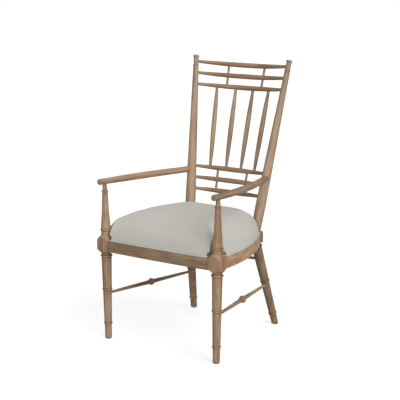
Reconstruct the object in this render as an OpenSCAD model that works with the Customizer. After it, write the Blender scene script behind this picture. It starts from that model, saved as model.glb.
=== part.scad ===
// High-backed turned armchair. Two turned front posts run from floor to arm and carry round
// arms. Two raked back posts are joined by six bent bars, with spindles and short struts
// between them. A bowed seat frame holds a tight domed seat bound with a welt.
// Millimetres. +Z is up and the sitter faces -Y. Left and right are the sitter's.
// The origin is on the floor, in the middle of the chair's width and depth.

/* [Stance] */
// Height of the back posts' tops above the floor, on their axes
overall_h = 1123; // [940:1:1347]
// Distance between the front feet, centre to centre
front_feet = 530; // [450:1:640]
// Distance between the front posts where they meet the arms
arm_spread = 543; // [460:1:650]
// Front post axis to rear block centre, front to back
seat_depth = 443; // [375:1:530]
// Distance between the rear blocks, centre to centre
rear_blocks = 328; // [290:1:390]
// Distance between the rear feet, centre to centre
rear_feet = 421; // [350:1:500]
// How far the rear feet stand behind the rear blocks
rear_foot_kick = 102; // [60:1:130]
// Distance between the tops of the back posts
back_spread = 461.8; // [400:0.2:540]
// How far the tops of the back posts lie behind the rear blocks
back_lean = 152.8; // [110:0.2:185]

/* [Seat frame] */
// Top of the seat rails above the floor
rail_top = 420; // [390:1:450]
// Height of the seat rails
rail_h = 46; // [40:1:52]
// Thickness of the seat rails
rail_t = 24; // [20:1:28]
// Width of the square blocks that the rails meet
block_w = 53; // [48:1:60]
// Straight height of the front blocks' corner edges
block_edge_h = 40; // [34:1:46]
// Slope of the front blocks' turned shoulders, in degrees
shoulder_slope = 45; // [40:1:50]
// How far the front rail's face lies behind the blocks' faces
front_rail_setback = 2.5; // [1:0.5:6]
// How far the front rail bows forward in its middle
front_rail_bow = 5; // [3:1:12]
// How far a side rail's face lies inside the front block's outer face
side_rail_setback = 8; // [6:0.5:10]
// Radius that the side rails are bent to, on their outer face
side_rail_radius = 750; // [680:10:1100]
// Tenon thickness
tenon_t = 10; // [8:1:12]
// Tenon height
tenon_h = 30; // [24:1:34]
// Tenon length
tenon_l = 20; // [16:1:22]

/* [Front posts] */
// Diameter of a front foot at the floor
front_foot_d = 27.6; // [24:0.2:32]
// Diameter just below the lowest ring
front_ankle_d = 29; // [26:0.2:32]
// Diameter just above the lowest ring
front_shin_d = 31; // [28:0.2:34]
// Diameter just below the top ring of the leg
front_knee_d = 41.5; // [38:0.5:44]
// Diameter of the necks that join the rings to the block
front_neck_d = 39; // [36:0.5:42]
// Height of the lowest ring on a front leg
front_ring_low = 66; // [50:1:90]
// Height of the middle ring on a front leg
front_ring_mid = 211; // [180:1:240]
// Height of the top ring on a front leg
front_ring_top = 352; // [340:1:358]
// Height of the ring at the foot of the arm post
arm_ring_low = 459; // [452:1:470]
// Height of the ring near the top of the arm post
arm_ring_top = 617; // [595:1:630]
// Diameter of the arm post just above its lower ring
arm_post_base_d = 40.4; // [36:0.2:44]
// Diameter of the arm post just below its upper ring
arm_post_waist_d = 22.6; // [20:0.2:26]
// Diameter of the arm post where it enters the arm
arm_post_top_d = 17; // [15:0.2:20]

/* [Rings] */
// Outer diameter of the lowest rings
ring_low_d = 36.5; // [35:0.5:40]
// Outer diameter of the middle rings
ring_mid_d = 41.5; // [40:0.5:46]
// Outer diameter of the top rings, just below the blocks
ring_top_d = 49; // [46:0.5:54]
// Outer diameter of the lower arm post ring
arm_ring_low_d = 46; // [43:0.5:50]
// Outer diameter of the upper arm post ring
arm_ring_top_d = 27.5; // [26:0.5:30]
// Height of the leg rings
ring_h = 9; // [7:0.5:11]
// Height of the small rings on the arm posts and back posts
small_ring_h = 7; // [5:0.5:9]

/* [Rear posts] */
// Diameter of a rear foot at the floor
rear_foot_d = 28; // [24:0.5:32]
// Diameter of a rear leg just above its lowest ring
rear_shin_d = 31.5; // [28:0.5:34]
// Diameter of a rear leg just below its top ring
rear_knee_d = 42; // [38:0.5:44]
// Diameter of the neck between the top ring and the block
rear_neck_d = 38; // [34:0.5:40]
// Height of the lowest ring on a rear leg
rear_ring_low = 51; // [40:1:80]
// Height of the middle ring on a rear leg
rear_ring_mid = 199.5; // [170:0.5:230]
// Height of the top ring on a rear leg
rear_ring_top = 356; // [344:1:360]
// Diameter of a back post where it leaves the block
back_root_d = 40; // [36:0.5:42]
// Largest diameter of a back post, behind the cushion
back_swell_d = 43.5; // [40:0.5:46]
// Height of the back post's largest diameter
back_swell_z = 530; // [500:1:545]
// Diameter of a back post below its top ring
back_top_d = 23.5; // [21:0.5:28]
// Diameter of the neck between a back post's top ring and its cap
back_neck_d = 21.5; // [19:0.5:24]
// Diameter of the cap and of the ring below it
back_cap_d = 25.5; // [23:0.5:30]
// Height of the rounded cap
back_cap_h = 11; // [9:0.5:14]
// Top of the cap down to the ring
back_ring_drop = 43.5; // [42:0.5:56]

/* [Back bars] */
// Top of the back posts down to the highest bar
crest_drop = 26.6; // [22:0.2:28]
// Height of the highest lumbar bar where it meets the posts
lumbar_z = 657.6; // [645:0.2:690]
// Distance between neighbouring bars, measured upwards
bar_pitch = 47.2; // [42:0.2:52]
// Radius that the bars are bent to
bar_bend_r = 480; // [400:10:700]
// Diameter of the bars in their middle
bar_mid_d = 21.5; // [18:0.5:25]
// Diameter of the bars where they enter the posts
bar_end_d = 13; // [11:0.5:14]
// Diameter of the long spindles in their middle
spindle_mid_d = 21; // [16:0.5:26]
// Diameter of the long spindles where they enter the bars
spindle_end_d = 12; // [9:0.5:13]
// Diameter of the short struts between neighbouring bars
strut_d = 10; // [8:0.5:11]
// Depth of the holes that spindles and struts enter in the bars
bar_socket = 5; // [4:0.5:6]

/* [Arms] */
// Height of the arm's centre line over the front post
arm_front_z = 658; // [640:1:690]
// Height of the arm's centre line where it meets the back post
arm_rear_z = 642; // [630:1:649]
// Overhang of the arm in front of the front post's axis
arm_overhang = 33.3; // [26:0.1:60]
// Diameter of the arm at its front end
arm_tip_d = 24.5; // [22:0.5:28]
// Largest diameter of the arm
arm_mid_d = 28; // [25:0.5:32]
// Diameter of the arm where it meets the back post
arm_rear_d = 26; // [23:0.5:30]
// Outward bow of the arm's control point
arm_bow = 32; // [0:1:60]
// Backward shift of the arm's control point
arm_bow_aft = 16; // [-20:1:40]
// Dip of the arm's control point
arm_dip = 4.5; // [0:0.5:15]
// Diameter of the round tenons at both ends of the arm's joints
arm_tenon_d = 12; // [10:0.5:14]

/* [Stretchers] */
// Height at which the side stretchers enter the front legs
stretcher_front_z = 193; // [150:1:197]
// Height at which the side stretchers enter the rear legs
stretcher_rear_z = 182; // [150:1:186]
// Height of the rear stretcher
rear_stretcher_z = 298; // [250:1:330]
// Diameter of the stretchers at their ends
stretcher_end_d = 11; // [9:0.5:13]
// Diameter of the side stretchers beside their centre bead
stretcher_mid_d = 17.5; // [14:0.5:21]
// Diameter of the centre bead
stretcher_bead_d = 30; // [24:0.5:36]
// Length of the centre bead
stretcher_bead_l = 24; // [18:0.5:32]
// Diameter of the rear stretcher in its middle
rear_stretcher_d = 20; // [16:0.5:26]

/* [Seat] */
// Rise of the seat's crown above its bottom edge
crown_h = 116; // [70:1:135]
// Crown of the seat behind the front post axis
crown_back = 245; // [200:1:270]
// How far the cover tucks in above the welt
cover_tuck = 5.2; // [5:0.1:7]
// Thickness of the cover
cover_t = 2.5; // [1:0.5:4]
// Thickness of the seat board
board_t = 12; // [9:1:15]
// Diameter of the welt
welt_d = 5; // [4:0.5:5]
// Gap between the front blocks' corner edges and the welt
front_notch_gap = 0.5; // [0.5:0.5:4]
// Gap between the back posts, at their largest, and the seat
rear_notch_gap = 5.2; // [5:0.1:12]

/* [Fittings] */
// Thickness of the glides under the feet
glide_t = 4; // [3:0.5:6]
// Diameter of the glides
glide_d = 23; // [18:0.5:25]
// Diameter of the glides' nails
glide_nail_d = 3; // [2:0.5:4]
// Length of the glides' nails above the disc
glide_nail_l = 15; // [12:1:20]
// Shank diameter of the screws
screw_d = 4; // [3:0.5:5]
// Head diameter of the screws
screw_head_d = 8.5; // [7:0.5:10]
// Height of the screw heads
screw_head_h = 3; // [2:0.5:4]
// Height of the corner blocks
brace_h = 36; // [30:1:40]
// Clearance all round a round tenon in its hole
socket_fit = 0.15; // [0.1:0.05:0.3]
// Clearance all round a rail's tenon in its mortise
mortise_fit = 0.2; // [0.1:0.05:0.3]

/* [Hidden] */

$fn = 96;
LEFT = 1;
RIGHT = -1;
LIGHT_OAK = [0.62, 0.50, 0.39];
DEEP_OAK = [0.52, 0.41, 0.31];
PALE_LINEN = [0.80, 0.79, 0.74];
// Slack that lets a cut run clear past the face it leaves
past = 1;

// Heights
rail_bottom = rail_top - rail_h;
rail_mid = rail_top - rail_h / 2;
block_mid = rail_top - block_edge_h / 2;
crest_z = [overall_h - crest_drop, overall_h - crest_drop - bar_pitch,
           overall_h - crest_drop - 2 * bar_pitch];
lumbar_bars_z = [lumbar_z, lumbar_z - bar_pitch, lumbar_z - 2 * bar_pitch];
back_ring_z = overall_h - back_ring_drop;

// The back plane leans by lean degrees; away points backward, square to that plane
lean = atan2(back_lean, overall_h - rail_mid);
away = [0, cos(lean), -sin(lean)];
rise = [0, sin(lean), cos(lean)];

function lerp(a, b, t) = a + (b - a) * t;
function unit(v) = v / norm(v);
function at_height(p, q, z) = p + (q - p) * (z - p[2]) / (q[2] - p[2]);

// Half the distance between the post axes, and their lie behind the rear block, at a height
function back_share(z) = (z - rail_mid) / (overall_h - rail_mid);
function back_half(z) = lerp(rear_blocks / 2, back_spread / 2, back_share(z));
// Depth of a bent bar's bow, from the post axes to its middle
function bow_depth(half) = bar_bend_r - sqrt(bar_bend_r * bar_bend_r - half * half);

// The front post axis lies front_y before the origin, so that the depth is centred
bar_rear_reach = (bow_depth(back_half(crest_z[0])) + bar_mid_d / 2) * cos(lean);
chair_rear = seat_depth + back_lean * back_share(crest_z[0]) + bar_rear_reach;
front_y = -(chair_rear - arm_overhang) / 2;
rear_y = front_y + seat_depth;

// Axes of the posts
function front_foot(s) = [s * front_feet / 2, front_y, 0];
function front_top(s) = [s * arm_spread / 2, front_y, arm_front_z];
function front_at(s, z) = at_height(front_foot(s), front_top(s), z);
function rear_foot(s) = [s * rear_feet / 2, rear_y + rear_foot_kick, 0];
function rear_block(s) = [s * rear_blocks / 2, rear_y, rail_mid];
function back_top(s) = [s * back_spread / 2, rear_y + back_lean, overall_h];
function back_at(s, z) = at_height(rear_block(s), back_top(s), z);
function rear_leg_at(s, z) = at_height(rear_foot(s), rear_block(s), z);

front_x = front_at(LEFT, block_mid)[0];
rear_x = rear_blocks / 2;
rear_len = norm(rear_block(LEFT) - rear_foot(LEFT));
back_len = norm(back_top(LEFT) - rear_block(LEFT));
// Length along each leaning axis for a unit of height
rear_stretch = rear_len / rail_mid;
back_stretch = back_len / (overall_h - rail_mid);

// The back post's taper starts inside its block
back_root_z = rail_mid + rail_h / 4;
// Radius of a back post at a height
function back_post_r(z) =
    z < back_swell_z
    ? lerp(back_root_d, back_swell_d, (z - back_root_z) / (back_swell_z - back_root_z)) / 2
    : lerp(back_swell_d, back_top_d,
           min(1, (z - back_swell_z) / (back_ring_z - small_ring_h / 2 - back_swell_z))) / 2;

// ---------------------------------------------------------------- placing and turning

// Stands its children on p with their +Z towards q
module along(p, q) {
    d = q - p;
    translate(p)
        rotate([0, acos(d[2] / norm(d)), atan2(d[1], d[0])])
            children();
}

module peg(p, q, d, from, to) {
    along(p, q)
        translate([0, 0, from])
            cylinder(d = d, h = to - from);
}

// A turned solid: the profile is [radius, height] pairs, each ring is [diameter, height, thickness]
module turned(profile, rings = []) {
    rotate_extrude()
        union() {
            polygon(profile);
            for (ring = rings)
                translate([(ring[0] - ring[2]) / 2, ring[1]])
                    circle(d = ring[2], $fn = 24);
        }
}

module floor_cut() {
    translate([-overall_h, -overall_h, glide_t - overall_h])
        cube([2 * overall_h, 2 * overall_h, overall_h]);
}

// ---------------------------------------------------------------- bent bars of the back

// A bar's own middle-to-end angle
function bar_angle(z) = asin(back_half(z) / bar_bend_r);
function bar_post_y(z) = back_at(LEFT, z)[1];
// Point on a bar's centre line at a distance x from the middle of the chair
function bar_point(z, x) =
    [x, bar_post_y(z), z]
    + (sqrt(bar_bend_r * bar_bend_r - x * x) - bar_bend_r * cos(bar_angle(z))) * away;
// Bars, sticks and stretchers keep their end diameter this far outside the piece they enter
collar = 4;
function bar_lead(z) = back_post_r(z) + collar;
function bar_taper(z, x) = max(0, (back_half(z) - bar_lead(z) - abs(x)) / (back_half(z) - bar_lead(z)));
function bar_r(z, x) = lerp(bar_end_d, bar_mid_d, 1 - pow(1 - bar_taper(z, x), 2)) / 2;

BAR_SIDES = 16;
BAR_STEPS = 24;
// Bar ends stop short of the post axis
bar_stop = 3.5;

module closed_tube(rings, sides) {
    count = len(rings);
    points = [for (ring = rings) for (p = ring) p];
    walls = [for (i = [0 : count - 2]) for (j = [0 : sides - 1])
        [i * sides + j, (i + 1) * sides + j,
         (i + 1) * sides + (j + 1) % sides, i * sides + (j + 1) % sides]];
    start = [for (j = [0 : sides - 1]) j];
    end = [for (j = [sides - 1 : -1 : 0]) (count - 1) * sides + j];
    polyhedron(points, concat(walls, [start, end]));
}

module bar_body(z) {
    reach = bar_angle(z) - bar_stop / bar_bend_r * 180 / PI;
    rings = [for (i = [0 : BAR_STEPS])
        let (
            a = lerp(-reach, reach, i / BAR_STEPS),
            centre = bar_point(z, bar_bend_r * sin(a)),
            out = [sin(a), 0, 0] + cos(a) * away,
            r = bar_r(z, bar_bend_r * sin(a))
        )
        [for (j = [0 : BAR_SIDES - 1])
            let (turn = 360 * j / BAR_SIDES)
            centre + r * (cos(turn) * out + sin(turn) * rise)]];
    closed_tube(rings, BAR_SIDES);
}

STICK_STEPS = 14;
// Upright pieces stand at a share of each bar's half length, evenly spaced
SPINDLE_SHARES = [0.585, 0.195];
STRUT_SHARE = 0.39;

// A straight stick between two bars, from low height a to high height b, at one share
function stick_foot(a, share) = bar_point(a, share * back_half(a));
function stick_start(a, share) = bar_r(a, share * back_half(a)) - bar_socket;
function stick_length(a, b, share) = norm(stick_foot(b, share) - stick_foot(a, share));

module strut(a, b, s) {
    share = s * STRUT_SHARE;
    peg(stick_foot(a, share), stick_foot(b, share), strut_d,
        stick_start(a, share), stick_length(a, b, share) - stick_start(b, share));
}

module spindle(share) {
    a = lumbar_bars_z[0];
    b = crest_z[2];
    low = stick_start(a, share);
    high = stick_length(a, b, share) - stick_start(b, share);
    straight = bar_socket + collar;
    swell = [for (i = [0 : STICK_STEPS])
        let (t = i / STICK_STEPS)
        [lerp(spindle_end_d, spindle_mid_d, 1 - pow(2 * t - 1, 2)) / 2,
         lerp(low + straight, high - straight, t)]];
    along(stick_foot(a, share), stick_foot(b, share))
        turned(concat([[0, low], [spindle_end_d / 2, low]], swell,
                      [[spindle_end_d / 2, high], [0, high]]));
}

// Hole in bar a for a stick that goes to bar b, which may be above or below
module stick_hole(a, b, share, d) {
    start = stick_start(a, share);
    peg(stick_foot(a, share), stick_foot(b, share), d + 2 * socket_fit,
        start - socket_fit, start + bar_socket + bar_mid_d);
}

module drilled_bar(z, strut_ends, spindle_end) {
    difference() {
        bar_body(z);
        for (other = strut_ends)
            for (s = [LEFT, RIGHT])
                stick_hole(z, other, s * STRUT_SHARE, strut_d);
        for (other = spindle_end)
            for (share = SPINDLE_SHARES)
                for (s = [LEFT, RIGHT])
                    stick_hole(z, other, s * share, spindle_end_d);
    }
}

// ---------------------------------------------------------------- front posts

// Length that the turned feet run past the floor before they are cut flat
foot_spare = 20;
// Step in diameter on the two sides of a middle ring, below and above
ring_step_low = 0.8;
ring_step_high = 0.2;
block_corner_r = block_w / sqrt(2);
// Height taken by a shoulder from the neck out to the block's corner
shoulder_h = (block_corner_r - front_neck_d / 2) * tan(shoulder_slope);
// Depth of the recess in the arm's underside that the post's top enters
arm_seat = 4.5;
arm_seat_z = arm_front_z - arm_mid_d / 2 + arm_seat;
// Length of the arm's round tenons beyond the shoulder they stand on
arm_tenon_l = 12;
arm_tenon_top = arm_seat_z + arm_tenon_l;

// The front posts lean so little that their profiles use heights above the floor as they are
module front_post_axis(s) {
    along(front_foot(s), front_top(s))
        children();
}

module block_prism(centre, h) {
    translate([centre[0] - block_w / 2, centre[1] - block_w / 2, centre[2] - h / 2])
        cube([block_w, block_w, h]);
}

module front_turning() {
    shin = lerp(front_shin_d, front_knee_d,
                (front_ring_mid - front_ring_low) / (front_ring_top - front_ring_low)) / 2;
    half = ring_h / 2;
    small = small_ring_h / 2;
    cove = lerp(arm_post_base_d, arm_post_waist_d, 0.55) / 2;
    turned([
        [0, -foot_spare], [front_foot_d / 2, -foot_spare], [front_foot_d / 2, 0],
        [front_ankle_d / 2, front_ring_low - half], [front_shin_d / 2, front_ring_low + half],
        [shin - ring_step_low / 2, front_ring_mid - half],
        [shin + ring_step_high / 2, front_ring_mid + half],
        [front_knee_d / 2, front_ring_top - half], [front_neck_d / 2, front_ring_top + half],
        [front_neck_d / 2, arm_ring_low - half],
        [arm_post_base_d / 2, arm_ring_low + half],
        [cove, lerp(arm_ring_low, arm_ring_top, 0.42)],
        [arm_post_waist_d / 2, arm_ring_top - small],
        [arm_post_waist_d / 2 - 1.2, arm_ring_top + small],
        [arm_post_top_d / 2, arm_seat_z - arm_seat - 2], [arm_post_top_d / 2, arm_seat_z],
        [arm_tenon_d / 2, arm_seat_z], [arm_tenon_d / 2, arm_tenon_top], [0, arm_tenon_top]
    ], [
        [ring_low_d, front_ring_low, ring_h], [ring_mid_d, front_ring_mid, ring_h],
        [ring_top_d, front_ring_top, ring_h], [arm_ring_low_d, arm_ring_low, small_ring_h],
        [arm_ring_top_d, arm_ring_top, small_ring_h]
    ]);
}

module front_block_turning() {
    low = block_mid - block_edge_h / 2;
    high = block_mid + block_edge_h / 2;
    neck = front_neck_d / 2 - 1;
    turned([
        [0, low - shoulder_h], [neck, low - shoulder_h], [front_neck_d / 2, low - shoulder_h],
        [block_corner_r, low], [block_corner_r, high],
        [front_neck_d / 2, high + shoulder_h], [neck, high + shoulder_h], [0, high + shoulder_h]
    ]);
}

module front_post(s) {
    centre = front_at(s, block_mid);
    difference() {
        union() {
            front_post_axis(s) front_turning();
            intersection() {
                block_prism(centre, block_edge_h + 2 * shoulder_h);
                front_post_axis(s) front_block_turning();
            }
        }
        floor_cut();
        tenon(front_rail_end(s), s, mortise_fit);
        tenon_along_y(side_rail_front_end(s), 1, mortise_fit);
        stretcher_hole(stretcher_front(s), stretcher_rear(s), front_leg_r(stretcher_front_z));
        glide_nail(front_foot(s), socket_fit);
    }
}

function front_leg_r(z) =
    lerp(front_shin_d, front_knee_d, (z - front_ring_low) / (front_ring_top - front_ring_low)) / 2;

// ---------------------------------------------------------------- rear posts

module rear_leg_turning() {
    half = ring_h / 2;
    shin = lerp(rear_shin_d, rear_knee_d,
                (rear_ring_mid - rear_ring_low) / (rear_ring_top - rear_ring_low)) / 2;
    k = rear_stretch;
    turned([
        [0, -foot_spare], [rear_foot_d / 2, -foot_spare], [rear_foot_d / 2, 0],
        [rear_foot_d / 2 + 1, (rear_ring_low - half) * k],
        [rear_shin_d / 2, (rear_ring_low + half) * k],
        [shin - ring_step_low / 2, (rear_ring_mid - half) * k],
        [shin + ring_step_high / 2, (rear_ring_mid + half) * k],
        [rear_knee_d / 2, (rear_ring_top - half) * k], [rear_neck_d / 2, (rear_ring_top + half) * k],
        [rear_neck_d / 2, (rail_bottom + 12) * k], [0, (rail_bottom + 12) * k]
    ], [
        [ring_low_d, rear_ring_low * k, ring_h], [ring_mid_d, rear_ring_mid * k, ring_h],
        [ring_top_d, rear_ring_top * k, ring_h]
    ]);
}

// Rounding of the cap's top edge, and height of its flared lower edge
cap_round = 4;
cap_lip = 2;

module back_post_turning() {
    k = back_stretch;
    start = (back_root_z - rail_mid) * k;
    swell = (back_swell_z - rail_mid) * k;
    ring = (back_ring_z - rail_mid) * k;
    small = small_ring_h / 2;
    cap = back_len - back_cap_h;
    cap_r = back_cap_d / 2;
    flank = cap_r - cap_round;
    dome = [for (a = [0 : 15 : 90])
        [flank + cap_round * cos(a), back_len - cap_round + cap_round * sin(a)]];
    turned(concat([
        [0, start], [back_root_d / 2, start],
        [back_swell_d / 2, swell], [back_top_d / 2, ring - small],
        [back_neck_d / 2, ring + small], [back_neck_d / 2, cap], [cap_r, cap + cap_lip]
    ], dome, [[0, back_len]]), [
        [back_cap_d, ring, small_ring_h]
    ]);
}

// The rear turnings start here round their axes, so that each leaves its block away from the start
TURN_START = 37;

module rear_post(s) {
    difference() {
        union() {
            along(rear_foot(s), rear_block(s)) rotate(TURN_START) rear_leg_turning();
            block_prism(rear_block(s), rail_h);
            along(rear_block(s), back_top(s)) rotate(TURN_START) back_post_turning();
        }
        floor_cut();
        tenon(rear_rail_end(s), s, mortise_fit);
        tenon_along_y(side_rail_rear_end(s), -1, mortise_fit);
        stretcher_hole(stretcher_rear(s), stretcher_front(s), rear_leg_r(stretcher_rear_z));
        stretcher_hole(rear_leg_at(s, rear_stretcher_z), rear_leg_at(-s, rear_stretcher_z),
                       rear_leg_r(rear_stretcher_z));
        for (z = concat(crest_z, lumbar_bars_z))
            peg(back_at(s, z), bar_point(z, s * (back_half(z) - bar_lead(z))),
                bar_end_d + 4 * socket_fit, bar_stop - 2 * socket_fit, bar_lead(z) + block_w);
        arm_rear_tenon(s, socket_fit);
        glide_nail(rear_foot(s), socket_fit);
    }
}

function rear_leg_r(z) =
    lerp(rear_shin_d, rear_knee_d, (z - rear_ring_low) / (rear_ring_top - rear_ring_low)) / 2;

// ---------------------------------------------------------------- seat frame

front_inner = front_x - block_w / 2;
rear_inner = rear_x - block_w / 2;
rear_outer = rear_x + block_w / 2;
front_face = front_y - block_w / 2 + front_rail_setback;

// A rail end is [centre of the end's shoulder on the block's face]
function front_rail_end(s) = [s * front_inner, front_face + rail_t / 2, rail_mid];
function rear_rail_end(s) = [s * rear_inner, rear_y, rail_mid];

// Tenon that enters a block sideways, from its shoulder at p towards side s
module tenon(p, s, fit) {
    reach = tenon_l + fit;
    translate([p[0] + s * (reach - past) / 2, p[1], p[2]])
        cube([reach + past, tenon_t + 2 * fit, tenon_h + 2 * fit], center = true);
}

// Tenon that enters a block from front or back: way is +1 where the rail lies behind the block
module tenon_along_y(p, way, fit) {
    reach = tenon_l + fit;
    translate([p[0], p[1] - way * (reach - past) / 2, p[2]])
        cube([tenon_t + 2 * fit, reach + past, tenon_h + 2 * fit], center = true);
}

// Centre of the circle of radius r through p and q that bulges towards +X
function arc_centre(p, q, r) =
    let (
        mid = (p + q) / 2,
        chord = q - p,
        gap = sqrt(r * r - chord * chord / 4)
    )
    mid + gap * [-chord[1], chord[0]] / norm(chord);

// The left side rail's outer face, seen from above, runs from the front block's back to the
// rear block's outer face, which it meets a little behind that block's middle
side_rail_meet = 3;
// The rail is coped round the rear block as far as this behind its middle
side_rail_cope = 6;
side_front = [front_x + block_w / 2 - side_rail_setback, front_y + block_w / 2];
side_rear = [rear_outer, rear_y + side_rail_meet];
side_centre = arc_centre(side_front, side_rear, side_rail_radius);
function side_angle(y) = asin((y - side_centre[1]) / side_rail_radius);
function side_x(y, r) = side_centre[0] + sqrt(r * r - pow(y - side_centre[1], 2));

function side_arc(r, y0, y1, steps) =
    [for (i = [0 : steps])
        let (a = lerp(side_angle(y0), side_angle(y1), i / steps))
        side_centre + r * [cos(a), sin(a)]];

RAIL_STEPS = 24;
function side_plan() =
    let (y0 = front_y, y1 = rear_y + side_rail_cope)
    concat(side_arc(side_rail_radius, y0, y1, RAIL_STEPS),
           [for (i = [RAIL_STEPS : -1 : 0])
               side_arc(side_rail_radius - rail_t, y0, y1, RAIL_STEPS)[i]]);

// Middle of the rail's thickness on the two blocks' faces
rail_line_r = side_rail_radius - rail_t / 2;
function side_rail_front_end(s) =
    [s * min(side_x(front_y + block_w / 2, rail_line_r), front_x + block_w / 2 - tenon_t),
     front_y + block_w / 2, rail_mid];
function side_rail_rear_end(s) =
    [s * min(side_x(rear_y - block_w / 2, rail_line_r), rear_outer - tenon_t),
     rear_y - block_w / 2, rail_mid];

module on_side(s) {
    if (s == LEFT)
        children();
    else
        mirror([1, 0, 0])
            children();
}

// The left side rail and its two tenons
module side_rail_left_shape() {
    difference() {
        translate([0, 0, rail_bottom])
            linear_extrude(rail_h)
                difference() {
                    polygon(side_plan());
                    translate([front_x - block_w / 2, front_y - block_w / 2])
                        square(block_w);
                    translate([rear_x - block_w / 2, rear_y - block_w / 2])
                        square(block_w);
                }
        brace_screw_holes();
    }
    tenon_along_y(side_rail_front_end(LEFT), 1, 0);
    tenon_along_y(side_rail_rear_end(LEFT), -1, 0);
}

// The front rail's face bows forward and its back is flat
function front_bow(x) = front_rail_bow * (1 - pow(x / front_inner, 2));

module front_rail_shape() {
    back = front_face + rail_t;
    difference() {
        translate([0, 0, rail_bottom])
            linear_extrude(rail_h)
                polygon(concat(
                    [for (i = [-RAIL_STEPS / 2 : RAIL_STEPS / 2])
                        let (x = 2 * i / RAIL_STEPS * front_inner)
                        [x, front_face - front_bow(x)]],
                    [[front_inner, back], [-front_inner, back]]));
        brace_screw_holes();
        mirror([1, 0, 0])
            brace_screw_holes();
    }
    for (s = [LEFT, RIGHT])
        tenon(front_rail_end(s), s, 0);
}

module rear_rail_shape() {
    difference() {
        translate([-rear_inner, rear_y - rail_t / 2, rail_bottom])
            cube([2 * rear_inner, rail_t, rail_h]);
        brace_screw_holes();
        mirror([1, 0, 0])
            brace_screw_holes();
    }
    for (s = [LEFT, RIGHT])
        tenon(rear_rail_end(s), s, 0);
}

// ---------------------------------------------------------------- corner blocks and screws

brace_w = 28;
// Top of the rails down to the top of the corner blocks
brace_drop = 3;
// Distance of each corner block's ends from its corner, along the straight rail and the side rail
front_brace_run = [block_w + 19, block_w + 43];
rear_brace_run = [block_w + 5, block_w + 29];
brace_mid = rail_top - brace_drop - brace_h / 2;
front_rail_back = front_face + rail_t;
rear_rail_front = rear_y - rail_t / 2;
// The left corner blocks' ends on the front or rear rail, and on the side rail
function side_inner(y) = side_x(y, side_rail_radius - rail_t);
front_brace_a = [front_inner - front_brace_run[0], front_rail_back];
front_brace_b = [side_inner(front_y + front_brace_run[1]), front_y + front_brace_run[1]];
rear_brace_a = [rear_inner - rear_brace_run[0], rear_rail_front];
rear_brace_b = [side_inner(rear_y - rear_brace_run[1]), rear_y - rear_brace_run[1]];

// A flat diagonal block cut to the rails it joins
function brace_side(a, b) = unit([-(b - a)[1], (b - a)[0]]) * brace_w / 2;
function brace_overrun(a, b) = unit(b - a) * brace_w;

module brace(a, b) {
    w = brace_side(a, b);
    e = brace_overrun(a, b);
    difference() {
        translate([0, 0, brace_mid - brace_h / 2])
            linear_extrude(brace_h)
                difference() {
                    polygon([a - e - w, b + e - w, b + e + w, a - e + w]);
                    polygon(side_plan());
                    translate([b[0], b[1] - 2 * brace_w])
                        square(4 * brace_w);
                    translate([0, front_rail_back - 4 * brace_w])
                        square([2 * front_inner, 4 * brace_w]);
                    translate([0, rear_rail_front])
                        square([2 * front_inner, 4 * brace_w]);
                }
        brace_screw_holes();
        seat_screw_holes();
    }
}

// Gap that holds the dust cover between the rails and the board
board_base = 1.2;
// Length of a screw beyond the corner block, in a rail and in the board
screw_bite = 14;
board_bite = 9;
// Depth of wood from a screw head's seat to the rail's face
screw_seat = 10;
// Distance of a screw from the middle of its corner block's end, towards the corner's far side
screw_shift = [2, 4];
front_mid = (front_brace_a + front_brace_b) / 2;
rear_mid = (rear_brace_a + rear_brace_b) / 2;

// Every screw is [point on its head's seat, direction, length]; these are the left side's
function screw_to(x, y, dir) =
    [[x, y, brace_mid] - screw_seat * dir, dir, screw_seat + screw_bite];
function side_screw(y, dir) = screw_to(side_inner(y), y, dir);
function brace_screws() = [
    screw_to(front_brace_a[0] - screw_shift[0], front_rail_back, [0, -1, 0]),
    side_screw(front_brace_b[1] + screw_shift[1], [1, 0, 0]),
    screw_to(rear_brace_a[0] - screw_shift[0], rear_rail_front, [0, 1, 0]),
    side_screw(rear_brace_b[1] - screw_shift[1],
               [cos(side_angle(rear_brace_b[1])), sin(side_angle(rear_brace_b[1])), 0])
];
seat_screw_l = brace_h + brace_drop + board_base + board_bite;
function seat_screws() = [for (m = [front_mid, rear_mid])
    [[m[0], m[1], brace_mid - brace_h / 2], [0, 0, 1], seat_screw_l]];

module screw(item) {
    along(item[0], item[0] + item[1]) {
        cylinder(d = screw_d, h = item[2]);
        translate([0, 0, -screw_head_h])
            cylinder(d = screw_head_d, h = screw_head_h);
    }
}

// The hole for a screw, with a wide way in for its head and the driver
module screw_hole(item) {
    along(item[0], item[0] + item[1]) {
        cylinder(d = screw_d + 2 * socket_fit, h = item[2] + past);
        translate([0, 0, -4 * brace_w])
            cylinder(d = screw_head_d + 1, h = 4 * brace_w);
    }
}

module brace_screw_holes() {
    for (item = brace_screws())
        screw_hole(item);
}

module seat_screw_holes() {
    for (item = seat_screws())
        screw_hole(item);
}

module both_sides() {
    children();
    mirror([1, 0, 0])
        children();
}

module all_brace_screws() {
    both_sides()
        for (item = brace_screws())
            screw(item);
}

module all_seat_screws() {
    both_sides()
        for (item = seat_screws())
            screw(item);
}

// ---------------------------------------------------------------- arms

ARM_SIDES = 20;
ARM_STEPS = 22;
ARM_TIP_STEPS = 3;
arm_edge = 1.5;
// The arm's tenon stops short of the back post's axis
arm_tenon_stop = 2;

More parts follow.
